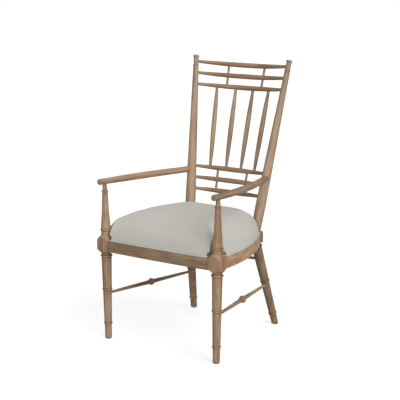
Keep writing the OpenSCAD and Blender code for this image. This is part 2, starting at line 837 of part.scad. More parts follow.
function arm_start(s) = front_top(s);
function arm_end(s) = back_at(s, arm_rear_z);
function arm_pull(s) =
    (arm_start(s) + arm_end(s)) / 2 + [s * arm_bow, arm_bow_aft, -arm_dip];
function arm_curve(s, t) =
    pow(1 - t, 2) * arm_start(s) + 2 * t * (1 - t) * arm_pull(s) + t * t * arm_end(s);
function arm_heading(s, t) =
    unit((1 - t) * (arm_pull(s) - arm_start(s)) + t * (arm_end(s) - arm_pull(s)));
function arm_r(t) =
    t < 0.45 ? lerp(arm_tip_d, arm_mid_d, sin(t / 0.45 * 90)) / 2
             : lerp(arm_mid_d, arm_rear_d, (t - 0.45) / 0.55) / 2;

function arm_ring(centre, heading, r) =
    let (
        side = unit(cross([0, 0, 1], heading)),
        up = cross(heading, side)
    )
    [for (j = [0 : ARM_SIDES - 1])
        let (turn = 360 * j / ARM_SIDES)
        centre + r * (cos(turn) * side + sin(turn) * up)];

module arm_bar(s) {
    ahead = arm_heading(s, 0);
    tip = arm_start(s) - arm_overhang * ahead;
    rings = concat(
        [arm_ring(tip, ahead, arm_tip_d / 2 - arm_edge)],
        [for (i = [0 : ARM_TIP_STEPS - 1])
            arm_ring(tip + lerp(arm_edge, arm_overhang, i / ARM_TIP_STEPS) * ahead, ahead,
                     arm_tip_d / 2)],
        [for (i = [0 : ARM_STEPS])
            arm_ring(arm_curve(s, i / ARM_STEPS), arm_heading(s, i / ARM_STEPS),
                     arm_r(i / ARM_STEPS))]);
    closed_tube(rings, ARM_SIDES);
}

module arm_rear_tenon(s, fit) {
    peg(arm_end(s), arm_end(s) - arm_heading(s, 1), arm_tenon_d + 2 * fit,
        arm_tenon_stop - fit, arm_tenon_reach);
}
arm_tenon_reach = back_post_r(arm_rear_z) + arm_tenon_l;

module arm(s) {
    difference() {
        arm_bar(s);
        along(rear_block(s), back_top(s))
            translate([0, 0, (back_swell_z - rail_mid) * back_stretch])
                cylinder(d1 = back_swell_d + 2 * rest_gap, d2 = back_top_d + 2 * rest_gap,
                         h = (back_ring_z - back_swell_z) * back_stretch - small_ring_h / 2);
        front_post_axis(s) {
            translate([0, 0, arm_seat_z - arm_mid_d - socket_fit])
                cylinder(d = arm_post_top_d + 2 * socket_fit, h = arm_mid_d + 2 * socket_fit);
            cylinder(d = arm_tenon_d + 2 * socket_fit, h = arm_tenon_top + socket_fit);
        }
    }
    arm_rear_tenon(s, 0);
}

// ---------------------------------------------------------------- stretchers

function stretcher_front(s) = front_at(s, stretcher_front_z);
function stretcher_rear(s) = rear_leg_at(s, stretcher_rear_z);
// Stretcher ends stop this far before the leg's axis
stretcher_stop = 4;

module stretcher_hole(p, q, r) {
    peg(p, q, stretcher_end_d + 2 * socket_fit, stretcher_stop - socket_fit, 2 * r + block_w);
}

module side_stretcher(s) {
    p = stretcher_front(s);
    q = stretcher_rear(s);
    span = norm(q - p);
    lead = front_leg_r(stretcher_front_z) + collar;
    mid = span / 2;
    bead = stretcher_bead_l / 2;
    end = stretcher_end_d / 2;
    shaft = stretcher_mid_d / 2;
    along(p, q)
        turned([
            [0, stretcher_stop], [end, stretcher_stop], [end, lead],
            [shaft, mid - bead - 7], [shaft - 2, mid - bead - 1],
            [shaft + 1, mid - bead], [stretcher_bead_d / 2 - 1.5, mid - bead / 2],
            [stretcher_bead_d / 2, mid - 2], [stretcher_bead_d / 2, mid + 2],
            [stretcher_bead_d / 2 - 1.5, mid + bead / 2], [shaft + 1, mid + bead],
            [shaft - 2, mid + bead + 1], [shaft, mid + bead + 7],
            [end, span - lead], [end, span - stretcher_stop], [0, span - stretcher_stop]
        ]);
}

module rear_stretcher_shape() {
    p = rear_leg_at(RIGHT, rear_stretcher_z);
    q = rear_leg_at(LEFT, rear_stretcher_z);
    span = norm(q - p);
    lead = rear_leg_r(rear_stretcher_z) + collar;
    end = stretcher_end_d / 2;
    along(p, q)
        turned(concat(
            [[0, stretcher_stop], [end, stretcher_stop]],
            [for (i = [0 : STICK_STEPS])
                let (t = i / STICK_STEPS)
                [lerp(stretcher_end_d, rear_stretcher_d, 1 - pow(2 * t - 1, 2)) / 2,
                 lerp(lead, span - lead, t)]],
            [[end, span - stretcher_stop], [0, span - stretcher_stop]]));
}

// ---------------------------------------------------------------- seat

// Rays from the crown's centre to the seat's edge give the plan of the cover, the foam, the
// board and the welt
SEAT_RAYS = 144;
DOME_STEPS = 10;
seat_centre = [0, front_y + crown_back];
// Radius of the seat's notches from the axes of the front posts and of the back posts
front_notch = block_corner_r + front_notch_gap;
rear_notch = back_swell_d / 2 + rear_notch_gap;
seat_base = rail_top + board_base;
front_arc_r = (front_inner * front_inner + front_rail_bow * front_rail_bow) / (2 * front_rail_bow);
seat_rear = rear_y + rail_t / 2;
// The rear notches are centred on the leaning back posts at the top of the welt
rear_notch_o = back_at(LEFT, rail_top + welt_d);

function ray(a) = [sin(a), -cos(a)];
// Distance along a ray to the far or the near side of a circle
function ray_b(d, o) = d * (seat_centre - o);
function ray_root(d, o, r) =
    let (w = seat_centre - o) pow(ray_b(d, o), 2) - (w * w - r * r);
function ray_far(d, o, r) = -ray_b(d, o) + sqrt(ray_root(d, o, r));
function ray_near(d, o, r) =
    ray_root(d, o, r) > 0 && ray_b(d, o) < 0 ? -ray_b(d, o) - sqrt(ray_root(d, o, r)) : 10000;
function ray_rear(d, inset) =
    d[1] > 0.001 ? (seat_rear - inset - seat_centre[1]) / d[1] : 10000;

function seat_reach(a, inset) =
    let (
        d = ray(a),
        front_o = [0, front_face - front_rail_bow + front_arc_r],
        right_o = [-side_centre[0], side_centre[1]]
    )
    min(
        ray_far(d, front_o, front_arc_r - inset),
        ray_far(d, side_centre, side_rail_radius - inset),
        ray_far(d, right_o, side_rail_radius - inset),
        ray_rear(d, inset),
        ray_near(d, [front_x, front_y], front_notch + inset),
        ray_near(d, [-front_x, front_y], front_notch + inset),
        ray_near(d, [rear_notch_o[0], rear_notch_o[1]], rear_notch + inset),
        ray_near(d, [-rear_notch_o[0], rear_notch_o[1]], rear_notch + inset)
    );

function seat_point(a, inset, shrink, z) =
    let (p = seat_centre + seat_reach(a, inset) * shrink * ray(a))
    [p[0], p[1], z];
function seat_ring(inset, shrink, z) =
    [for (i = [0 : SEAT_RAYS - 1]) seat_point(360 * i / SEAT_RAYS, inset, shrink, z)];
function flat(ring) = [for (p = ring) [p[0], p[1]]];

// The dome rises steeply at its edge and flattens over the crown
dome_tuck_angle = 25;
function dome_tuck(t) = cover_tuck * max(0, 1 - t / dome_tuck_angle);
function dome_ring(inset, h, t) =
    seat_ring(inset + dome_tuck(t), sqrt(max(0, cos(t))), seat_base + h * sin(t));
function dome_rings(inset, h, from) =
    [for (i = [0 : DOME_STEPS - 1]) dome_ring(inset, h, lerp(from, 90, i / DOME_STEPS))];

// Side walls between rings, starting at point number base
function ring_walls(base, rings) =
    [for (i = [0 : rings - 2]) for (j = [0 : SEAT_RAYS - 1])
        let (k = (j + 1) % SEAT_RAYS)
        [base + i * SEAT_RAYS + j, base + (i + 1) * SEAT_RAYS + j,
         base + (i + 1) * SEAT_RAYS + k, base + i * SEAT_RAYS + k]];
function ring_fan(base, apex) =
    [for (j = [0 : SEAT_RAYS - 1]) [base + j, apex, base + (j + 1) % SEAT_RAYS]];
function turned_over(faces) = [for (f = faces) [for (i = [len(f) - 1 : -1 : 0]) f[i]]];

module dome_solid(inset, h, from) {
    points = [for (ring = dome_rings(inset, h, from)) for (p = ring) p];
    top = len(points);
    floor_face = [for (j = [0 : SEAT_RAYS - 1]) j];
    polyhedron(
        concat(points, [[seat_centre[0], seat_centre[1], seat_base + h]]),
        concat(ring_walls(0, DOME_STEPS), ring_fan(top - SEAT_RAYS, top), [floor_face]));
}

module dome_shell(h, t) {
    outer = [for (ring = dome_rings(0, h, 0)) for (p = ring) p];
    inner = [for (ring = dome_rings(t, h - t, 0)) for (p = ring) p];
    count = len(outer);
    apex = 2 * count;
    rim = [for (j = [0 : SEAT_RAYS - 1])
        let (k = (j + 1) % SEAT_RAYS)
        [j, k, count + k, count + j]];
    polyhedron(
        concat(outer, inner, [
            [seat_centre[0], seat_centre[1], seat_base + h],
            [seat_centre[0], seat_centre[1], seat_base + h - t]
        ]),
        concat(
            ring_walls(0, DOME_STEPS), ring_fan(count - SEAT_RAYS, apex),
            turned_over(ring_walls(count, DOME_STEPS)),
            turned_over(ring_fan(2 * count - SEAT_RAYS, apex + 1)), rim));
}

// Gap between the foam and its cover, and between pieces that rest on each other
soft_gap = 1;
rest_gap = 0.2;
foam_inset = cover_t + soft_gap;
foam_h = crown_h - foam_inset;
foam_base_angle = asin((board_t + rest_gap) / foam_h);

// The welt lies on the rails, just outside the tucked cover
WELT_SIDES = 8;
module welt_loop() {
    r = welt_d / 2;
    middle = cover_tuck - r - rest_gap;
    points = [for (i = [0 : SEAT_RAYS - 1]) for (j = [0 : WELT_SIDES - 1])
        let (turn = 360 * j / WELT_SIDES)
        seat_point(360 * i / SEAT_RAYS, middle + r * cos(turn), 1,
                   rail_top + rest_gap + r + r * sin(turn))];
    polyhedron(points, [for (i = [0 : SEAT_RAYS - 1]) for (j = [0 : WELT_SIDES - 1])
        let (a = (i + 1) % SEAT_RAYS, b = (j + 1) % WELT_SIDES)
        [i * WELT_SIDES + j, i * WELT_SIDES + b, a * WELT_SIDES + b, a * WELT_SIDES + j]]);
}

board_inset = cover_tuck + cover_t + soft_gap;
module seat_board_shape() {
    difference() {
        translate([0, 0, seat_base])
            linear_extrude(board_t)
                polygon(flat(seat_ring(board_inset, 1, 0)));
        both_sides()
            seat_screw_holes();
    }
}

dust_cover_t = 0.8;
// Board's edge in to the dust cover's edge
dust_cover_margin = 5;
module dust_cover_shape() {
    difference() {
        translate([0, 0, rail_top + rest_gap])
            linear_extrude(dust_cover_t)
                polygon(flat(seat_ring(board_inset + dust_cover_margin, 1, 0)));
        both_sides()
            seat_screw_holes();
    }
}

// ---------------------------------------------------------------- glides

module glide_nail(foot, fit) {
    translate([foot[0], foot[1], glide_t - past])
        cylinder(d = glide_nail_d + 2 * fit, h = glide_nail_l + past + fit);
}

module glide(foot) {
    translate([foot[0], foot[1], 0])
        rotate_extrude()
            polygon([
                [0, 0], [glide_d / 2 - 1.5, 0], [glide_d / 2, 1.5], [glide_d / 2, glide_t],
                [glide_nail_d / 2, glide_t], [glide_nail_d / 2, glide_t + glide_nail_l],
                [0, glide_t + glide_nail_l]
            ]);
}

// ---------------------------------------------------------------- sub-parts

module front_post_left() {
    color(LIGHT_OAK) front_post(LEFT);
}
module front_post_right() {
    color(LIGHT_OAK) front_post(RIGHT);
}
module rear_post_left() {
    color(LIGHT_OAK) rear_post(LEFT);
}
module rear_post_right() {
    color(LIGHT_OAK) rear_post(RIGHT);
}
module front_rail() {
    color(DEEP_OAK) front_rail_shape();
}
module rear_rail() {
    color(DEEP_OAK) rear_rail_shape();
}
module side_rail_left() {
    color(DEEP_OAK) side_rail_left_shape();
}
module side_rail_right() {
    color(DEEP_OAK) on_side(RIGHT) side_rail_left_shape();
}
module corner_block_front_left() {
    color("burlywood") brace(front_brace_a, front_brace_b);
}
module corner_block_front_right() {
    color("burlywood") on_side(RIGHT) brace(front_brace_a, front_brace_b);
}
module corner_block_rear_left() {
    color("burlywood") brace(rear_brace_a, rear_brace_b);
}
module corner_block_rear_right() {
    color("burlywood") on_side(RIGHT) brace(rear_brace_a, rear_brace_b);
}
module corner_block_screws() {
    color("goldenrod") all_brace_screws();
}
module seat_fixing_screws() {
    color("goldenrod") all_seat_screws();
}
module arm_left() {
    color(LIGHT_OAK) arm(LEFT);
}
module arm_right() {
    color(LIGHT_OAK) arm(RIGHT);
}
module side_stretcher_left() {
    color(DEEP_OAK) side_stretcher(LEFT);
}
module side_stretcher_right() {
    color(DEEP_OAK) side_stretcher(RIGHT);
}
module rear_stretcher() {
    color(DEEP_OAK) rear_stretcher_shape();
}
module crest_bar_upper() {
    color(DEEP_OAK) drilled_bar(crest_z[0], [crest_z[1]], []);
}
module crest_bar_middle() {
    color(DEEP_OAK) drilled_bar(crest_z[1], [crest_z[0], crest_z[2]], []);
}
module crest_bar_lower() {
    color(DEEP_OAK) drilled_bar(crest_z[2], [crest_z[1]], [lumbar_bars_z[0]]);
}
module lumbar_bar_upper() {
    color(DEEP_OAK) drilled_bar(lumbar_bars_z[0], [lumbar_bars_z[1]], [crest_z[2]]);
}
module lumbar_bar_middle() {
    color(DEEP_OAK) drilled_bar(lumbar_bars_z[1], [lumbar_bars_z[0], lumbar_bars_z[2]], []);
}
module lumbar_bar_lower() {
    color(DEEP_OAK) drilled_bar(lumbar_bars_z[2], [lumbar_bars_z[1]], []);
}
module back_spindle(s, place) {
    color(LIGHT_OAK) spindle(s * SPINDLE_SHARES[place]);
}
module bar_strut(bars, gap, s) {
    color(LIGHT_OAK) strut(bars[gap + 1], bars[gap], s);
}
module seat_board() {
    color("tan") seat_board_shape();
}
module seat_foam() {
    color("lemonchiffon") dome_solid(foam_inset, foam_h, foam_base_angle);
}
module seat_cover() {
    color(PALE_LINEN) dome_shell(crown_h, cover_t);
}
module seat_welt() {
    color(PALE_LINEN) welt_loop();
}
module dust_cover() {
    color("dimgray") dust_cover_shape();
}
module foot_glide(foot) {
    color("dimgray") glide(foot);
}

front_post_left();
front_post_right();
rear_post_left();
rear_post_right();
front_rail();
rear_rail();
side_rail_left();
side_rail_right();
corner_block_front_left();
corner_block_front_right();
corner_block_rear_left();
corner_block_rear_right();
corner_block_screws();
seat_fixing_screws();  // seat_screws
arm_left();
arm_right();
side_stretcher_left();
side_stretcher_right();
rear_stretcher();
crest_bar_upper();
crest_bar_middle();
crest_bar_lower();
lumbar_bar_upper();
lumbar_bar_middle();
lumbar_bar_lower();
back_spindle(LEFT, 0);  // spindle_outer_left
back_spindle(LEFT, 1);  // spindle_inner_left
back_spindle(RIGHT, 1);  // spindle_inner_right
back_spindle(RIGHT, 0);  // spindle_outer_right
bar_strut(crest_z, 0, LEFT);  // crest_strut_upper_left
bar_strut(crest_z, 0, RIGHT);  // crest_strut_upper_right
bar_strut(crest_z, 1, LEFT);  // crest_strut_lower_left
bar_strut(crest_z, 1, RIGHT);  // crest_strut_lower_right
bar_strut(lumbar_bars_z, 0, LEFT);  // lumbar_strut_upper_left
bar_strut(lumbar_bars_z, 0, RIGHT);  // lumbar_strut_upper_right
bar_strut(lumbar_bars_z, 1, LEFT);  // lumbar_strut_lower_left
bar_strut(lumbar_bars_z, 1, RIGHT);  // lumbar_strut_lower_right
seat_board();
seat_foam();
seat_cover();
seat_welt();
dust_cover();
foot_glide(front_foot(LEFT));  // glide_front_left
foot_glide(front_foot(RIGHT));  // glide_front_right
foot_glide(rear_foot(LEFT));  // glide_rear_left
foot_glide(rear_foot(RIGHT));  // glide_rear_right
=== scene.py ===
"""High-backed turned armchair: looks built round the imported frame, in metres.

+Z is up and the sitter faces -Y. Left and right are the sitter's, and left is +X.
"""

import math

import bpy
import numpy as np
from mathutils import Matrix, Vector


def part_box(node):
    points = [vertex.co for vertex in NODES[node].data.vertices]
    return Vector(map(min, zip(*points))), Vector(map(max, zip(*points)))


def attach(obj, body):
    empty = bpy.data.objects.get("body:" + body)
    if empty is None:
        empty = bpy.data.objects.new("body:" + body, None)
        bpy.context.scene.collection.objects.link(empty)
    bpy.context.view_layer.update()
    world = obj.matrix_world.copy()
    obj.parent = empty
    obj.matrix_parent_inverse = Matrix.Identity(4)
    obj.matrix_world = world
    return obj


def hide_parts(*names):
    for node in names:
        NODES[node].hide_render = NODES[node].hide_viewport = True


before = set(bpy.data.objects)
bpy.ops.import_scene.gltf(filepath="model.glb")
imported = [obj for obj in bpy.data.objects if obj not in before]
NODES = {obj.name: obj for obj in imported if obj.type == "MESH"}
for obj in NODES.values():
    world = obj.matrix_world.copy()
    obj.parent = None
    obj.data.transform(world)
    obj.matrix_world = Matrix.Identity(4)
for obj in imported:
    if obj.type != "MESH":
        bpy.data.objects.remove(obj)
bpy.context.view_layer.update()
MM = 0.001
LEFT, RIGHT = 1, -1
SIDES = {"left": LEFT, "right": RIGHT}


# ------------------------------------------------------------------ places from the frame


def middle(node):
    """The middle of a node's box."""
    low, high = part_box(node)
    return (low + high) / 2


FRONT_FOOT = middle("glide_front_left")
REAR_FOOT = middle("glide_rear_left")
RAIL_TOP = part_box("front_rail")[1].z
SEAT_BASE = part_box("seat_cover")[0].z

# The left rear leg leans out below its block and the back post above it: the middle of the
# block and the top of the post, on whose axes bars, arms and rings are placed
BLOCK_HEIGHT = 397
LEG_RAKE = 0.102
BACK_LEAN = 0.1528
REAR_BLOCK = Vector((0.164, REAR_FOOT.y - LEG_RAKE, BLOCK_HEIGHT * MM))
BACK_TOP = Vector((0.2309, REAR_BLOCK.y + BACK_LEAN, 1.123))


def up_the_back(height):
    """How far up the back post a height is, from 0 at its block to 1 at its top."""
    return (height - REAR_BLOCK.z) / (BACK_TOP.z - REAR_BLOCK.z)


def back_axis(height):
    """The point of the left back post's axis at a height."""
    return REAR_BLOCK.lerp(BACK_TOP, up_the_back(height))


def mirrored(point, side):
    """A point of the left side, carried over to a side."""
    return Vector((side * point.x, point.y, point.z))


# ------------------------------------------------------------------ shader building


def linear(red, green, blue):
    """A colour given in display values from 0 to 255, as a shader colour."""
    shares = [value / 255 for value in (red, green, blue)]
    return (*[s / 12.92 if s <= 0.04045 else ((s + 0.055) / 1.055) ** 2.4 for s in shares], 1)


class Wire:
    """A node's output. Sums, differences and products of wires and numbers add Math nodes."""

    def __init__(self, paint, socket):
        self.paint = paint
        self.socket = socket

    def math(self, operation, first, second=0.0):
        return self.paint.add("Math", {0: first, 1: second}, operation=operation)

    def __add__(self, other):
        return self.math("ADD", self, other)

    def __sub__(self, other):
        return self.math("SUBTRACT", self, other)

    def __rsub__(self, other):
        return self.math("SUBTRACT", other, self)

    def __mul__(self, other):
        return self.math("MULTIPLY", self, other)

    def __abs__(self):
        return self.math("ABSOLUTE", self)

    __radd__ = __add__
    __rmul__ = __mul__

    def most(self, other):
        return self.math("MAXIMUM", self, other)

    def sine(self):
        return self.math("SINE", self)

    def step(self, low, high):
        """0 below low and 1 above high, with a smooth rise between; low may be the larger."""
        inputs = {"Value": self, "From Min": low, "From Max": high}
        return self.paint.add("MapRange", inputs, interpolation_type="SMOOTHSTEP")


class Paint:
    """A material under construction: every node comes from add()."""

    def __init__(self, name):
        self.material = bpy.data.materials.new(name)
        self.material.use_nodes = True
        self.tree = self.material.node_tree
        self.tree.nodes.clear()

    def add(self, kind, inputs=None, output=0, **settings):
        node = self.tree.nodes.new("ShaderNode" + kind)
        for key, value in settings.items():
            setattr(node, key, value)
        for key, value in (inputs or {}).items():
            if isinstance(value, Wire):
                self.tree.links.new(value.socket, node.inputs[key])
            else:
                node.inputs[key].default_value = value
        return Wire(self, node.outputs[output])

    def place(self):
        return self.add("TexCoord", output="Object")

    def attribute(self, name):
        return self.add("Attribute", output="Vector", attribute_name=name)

    def vector(self, operation, first, second, output=0):
        return self.add("VectorMath", {0: first, 1: second}, output, operation=operation)

    def dot(self, first, second):
        return self.vector("DOT_PRODUCT", first, second, output="Value")

    def scaled(self, vector, factor):
        inputs = {0: vector, "Scale": factor}
        return self.add("VectorMath", inputs, operation="SCALE")

    def noise(self, vector, scale, detail=4.0, roughness=0.6, distortion=0.0):
        inputs = {"Vector": vector, "Scale": scale, "Detail": detail,
                  "Roughness": roughness, "Distortion": distortion}
        return self.add("TexNoise", inputs)

    def mix(self, factor, first, second):
        inputs = {0: factor, 6: first, 7: second}
        return self.add("Mix", inputs, 2, data_type="RGBA")

    def bump(self, height, depth, strength):
        inputs = {"Height": height, "Distance": depth, "Strength": strength}
        return self.add("Bump", inputs)

    def finish(self, **sockets):
        names = {key.replace("_", " "): value for key, value in sockets.items()}
        surface = self.add("BsdfPrincipled", names)
        end = self.tree.nodes.new("ShaderNodeOutputMaterial")
        self.tree.links.new(surface.socket, end.inputs["Surface"])
        return self.material


# ------------------------------------------------------------------ wood

OAK_LIGHT = linear(192, 156, 120)
OAK_MID = linear(160, 122, 86)
OAK_DARK = linear(92, 63, 40)
OAK_WASH = linear(200, 178, 154)
# The glazing colour, also used for the painted shade round the end of each foot
OAK_GLAZE_AND_SHADE = linear(58, 38, 24)
# How light each piece is made: 1 is the plain mix of the oak colours. The side rails are lighter,
# partly from their own wash and partly as painted light on their lit faces, and the rear legs
# darker, partly from their stain and partly as painted shade under the seat
TONES = {
    "front_post": 0.96, "rear_leg_left": 0.72, "rear_leg_right": 0.9,
    "side_rail": 1.26, "end_rail": 0.8, "side_stretcher": 0.95, "rear_stretcher": 0.93,
    "arm_left": 0.86, "arm_right": 1.05, "bar": 0.92, "strut": 0.95, "spindle": 1.0,
}
# The tone of each post above the seat, and the share of extra wash colour mixed in there
FRONT_POST_UPPER = (1.05, 0.0)
REAR_POST_UPPER = (1.02, 0.2)
# Heights between which a post's lower tone, darker as painted shade under the seat, turns into its
# upper one
UPPER_FROM, UPPER_TO = 0.36, 0.46
# A dark line (glazing at a ring, painted shade at a foot's end) fades out at this distance from its
# middle, and is full at the smaller one
LINE_FADE = 2.4 * MM
LINE_FULL = 0.3 * MM


def oak(name, axis=None, seed=0.0, tone=1.0, lines=(), upper=None):
    """Limed oak with its grain along axis, or along the piece's own grain attribute.

    seed moves the pattern, so that no two pieces are cut from the same board.
    lines are (axis, start, [lengths]) of dark lines, measured along an axis from a point: glazing at
    the rings, and painted shade with some dirt at the foot's end.
    upper is the tone above the seat and the share of extra wash colour there, where the piece has
    them; the darker tone under the seat is painted shade.
    """
    paint = Paint(name)
    spot = paint.place() if axis else paint.attribute("grain")
    axis = Vector(axis or (0, 0, 1)).normalized()
    spot = paint.vector("ADD", spot, (seed, 0.37 * seed, 0.71 * seed))
    along = paint.dot(spot, axis)

    def drawn_out(share):
        """The place with its length along the grain cut down, so that patterns stretch so."""
        return paint.vector("ADD", spot, paint.scaled(tuple(axis), along * (share - 1)))

    fibres = paint.noise(drawn_out(0.02), 900, detail=3, roughness=0.7)
    streaks = paint.noise(drawn_out(0.05), 240, detail=4, roughness=0.65)
    bands = paint.noise(drawn_out(0.08), 46, detail=3, roughness=0.55, distortion=0.6)
    blotches = paint.noise(drawn_out(0.4), 14, detail=3, roughness=0.5)
    pores = paint.noise(drawn_out(0.035), 1500, detail=2, roughness=0.5).step(0.60, 0.72)

    colour = paint.mix(bands.step(0.34, 0.66), OAK_MID, OAK_LIGHT)
    colour = paint.mix(blotches.step(0.45, 0.70) * 0.34, colour, OAK_WASH)
    colour = paint.mix(streaks.step(0.46, 0.70) * 0.62, colour, OAK_DARK)
    colour = paint.mix(fibres.step(0.46, 0.76) * 0.50, colour, OAK_DARK)
    colour = paint.mix(pores * 0.55, colour, OAK_WASH)

    glaze_and_shade = blotches.step(0.50, 0.25) * 0.18
    # Glazing at the rings, and at the foot's end a dark line of painted shade with some dirt
    for line_axis, start, lengths in lines:
        length = paint.dot(paint.place(), line_axis) - Vector(start).dot(Vector(line_axis))
        for line in lengths:
            glaze_and_shade = glaze_and_shade.most(abs(length - line).step(LINE_FADE, LINE_FULL) * 0.62)
    colour = paint.mix(glaze_and_shade, colour, OAK_GLAZE_AND_SHADE)
    shade = tone
    # Painted shade: a post is darker below the seat than above it, and above it more wash colour is
    # mixed in
    if upper:
        upper_tone, extra_wash = upper
        above_seat = paint.dot(paint.place(), (0, 0, 1)).step(UPPER_FROM, UPPER_TO)
        colour = paint.mix(above_seat * extra_wash, colour, OAK_WASH)
        shade = tone + above_seat * (upper_tone - tone)
    colour = paint.scaled(colour, shade)

    rough = 0.47 + fibres * 0.16 - blotches * 0.1
    relief = fibres * 0.6 + streaks * 0.5 - pores * 0.5
    return paint.finish(Base_Color=colour, Roughness=rough, IOR=1.5,
                        Normal=paint.bump(relief, 0.25 * MM, 0.6))


# ------------------------------------------------------------------ cloth and the rest

WEAVE = 1.1 * MM
COVER_TINT = (205, 201, 191)
WELT_TINT = (208, 205, 193)


def linen(name, tint):
    """Plain weave linen blend, woven on the piece's own flat cloth coordinates."""
    paint = Paint(name)
    spot = paint.attribute("cloth")
    across = paint.dot(spot, (1, 0, 0))
    down = paint.dot(spot, (0, 1, 0))
    turn = 2 * math.pi / WEAVE
    warp = (across * turn).sine()
    weft = (down * turn).sine()
    weave = warp * weft
    long_warp = paint.noise(paint.vector("MULTIPLY", spot, (1, 0.04, 1)), 1100, 3, 0.7)
    long_weft = paint.noise(paint.vector("MULTIPLY", spot, (0.04, 1, 1)), 1100, 3, 0.7)
    slubs = long_warp.step(0.52, 0.85) + long_weft.step(0.52, 0.85)
    tone = paint.noise(spot, 9, 2, 0.5)

    def shaded(share):
        return linear(*[value * share for value in tint])

    colour = paint.mix(slubs * 0.45, linear(*tint), shaded(0.86))
    colour = paint.mix(weave.step(-1, 1) * 0.22, colour, shaded(1.07))
    colour = paint.mix(tone.step(0.35, 0.65) * 0.12, colour, shaded(0.93))
    relief = weave * 0.35 + slubs * 0.5
    return paint.finish(Base_Color=colour, Roughness=0.92, Sheen_Weight=0.25, Sheen_Roughness=0.6,
                        Specular_IOR_Level=0.25, Normal=paint.bump(relief, 0.2 * MM, 0.5))


def sawn(name, light, dark, axis):
    """Bare sawn timber or plywood under the seat, its grain along axis."""
    paint = Paint(name)
    spot = paint.place()
    along = paint.dot(spot, axis)
    drawn = paint.vector("ADD", spot, paint.scaled(axis, along * -0.95))
    fibres = paint.noise(drawn, 260, 4, 0.65)
    colour = paint.mix(fibres.step(0.35, 0.7), linear(*light), linear(*dark))
    return paint.finish(Base_Color=colour, Roughness=0.75,
                        Normal=paint.bump(fibres, 0.3 * MM, 0.5))


def speckled(name, colour, other, scale, roughness, metallic=0.0):
    """A plain finish with a fine speckle, for the glides, screws and black cambric."""
    paint = Paint(name)
    grain = paint.noise(paint.place(), scale, 4, 0.6)
    shade = paint.mix(grain.step(0.35, 0.7), linear(*colour), linear(*other))
    rough = roughness + grain * 0.15
    return paint.finish(Base_Color=shade, Roughness=rough, Metallic=metallic,
                        Normal=paint.bump(grain, 0.1 * MM, 0.3))


# ------------------------------------------------------------------ making new pieces

EASED_EDGE = 1.4 * MM
EDGE_STEPS = 3
SAME_POINT = 0.01 * MM


def deselect():
    """Leaves edit mode and deselects everything."""
    if bpy.context.object and bpy.context.object.mode != "OBJECT":
        bpy.ops.object.mode_set(mode="OBJECT")
    bpy.ops.object.select_all(action="DESELECT")


def pick(piece):
    """Makes a piece the only one selected, and the active one."""
    deselect()
    piece.select_set(True)
    bpy.context.view_layer.objects.active = piece


def wear(node, material):
    """Gives a node or a new piece its one material."""
    data = (NODES[node] if isinstance(node, str) else node).data
    data.materials.clear()
    data.materials.append(material)


def points_of(piece):
    """A piece's points, one to a row."""
    flat = np.zeros(len(piece.data.vertices) * 3)
    piece.data.vertices.foreach_get("co", flat)
    return flat.reshape(-1, 3)


def set_points(piece, points):
    piece.data.vertices.foreach_set("co", points.ravel())
    piece.data.update()


def note(piece, name, vectors):
    """Stores a vector on each point of a piece, for its material to read."""
    attribute = piece.data.attributes.new(name, "FLOAT_VECTOR", "POINT")
    attribute.data.foreach_set("vector", np.asarray(vectors, float).ravel())


def apply_modifier(piece, kind, **settings):
    pick(piece)
    modifier = piece.modifiers.new(kind.title(), kind)
    for key, value in settings.items():
        setattr(modifier, key, value)
    bpy.ops.object.modifier_apply(modifier=modifier.name)


def adopt(piece, slot, *stands_for):
    """Makes a finished piece part of the chair, in place of the nodes it stands for."""
    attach(piece, "root")
    if stands_for:
        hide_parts(*stands_for)


def eased(node, slot, material):
    """A copy of a sawn piece with its long edges eased, in that node's place."""
    piece = bpy.data.objects.new(f"eased_{node}", NODES[node].data.copy())
    bpy.context.scene.collection.objects.link(piece)
    pick(piece)
    bpy.ops.object.mode_set(mode="EDIT")
    bpy.ops.mesh.select_all(action="SELECT")
    bpy.ops.mesh.remove_doubles(threshold=SAME_POINT)
    bpy.ops.mesh.dissolve_limited(angle_limit=math.radians(0.5))
    bpy.ops.mesh.normals_make_consistent(inside=False)
    bpy.ops.object.mode_set(mode="OBJECT")
    apply_modifier(piece, "BEVEL", width=EASED_EDGE, segments=EDGE_STEPS, limit_method="ANGLE",
                   angle_limit=math.radians(50))
    bpy.ops.object.shade_smooth_by_angle(angle=math.radians(35))
    wear(piece, material)
    adopt(piece, slot, node)


def along_path(points, piece):
    """Each of a piece's points as two offsets from a path and the length along it."""
    path = np.array([tuple(p) for p in points])
    steps = np.linalg.norm(np.diff(path, axis=0), axis=1)
    lengths = np.concatenate([[0], steps.cumsum()])
    heading = np.gradient(path, axis=0)
    heading /= np.linalg.norm(heading, axis=1)[:, None]
    side = np.cross(np.array((0, 0, 1)), heading)
    side /= np.linalg.norm(side, axis=1)[:, None]
    rise = np.cross(heading, side)
    spots = points_of(piece)
    near = ((spots[:, None, :] - path[None, :, :]) ** 2).sum(2).argmin(1)
    offset = spots - path[near]
    return np.stack([(offset * side[near]).sum(1), (offset * rise[near]).sum(1),
                     lengths[near] + (offset * heading[near]).sum(1)], axis=1)


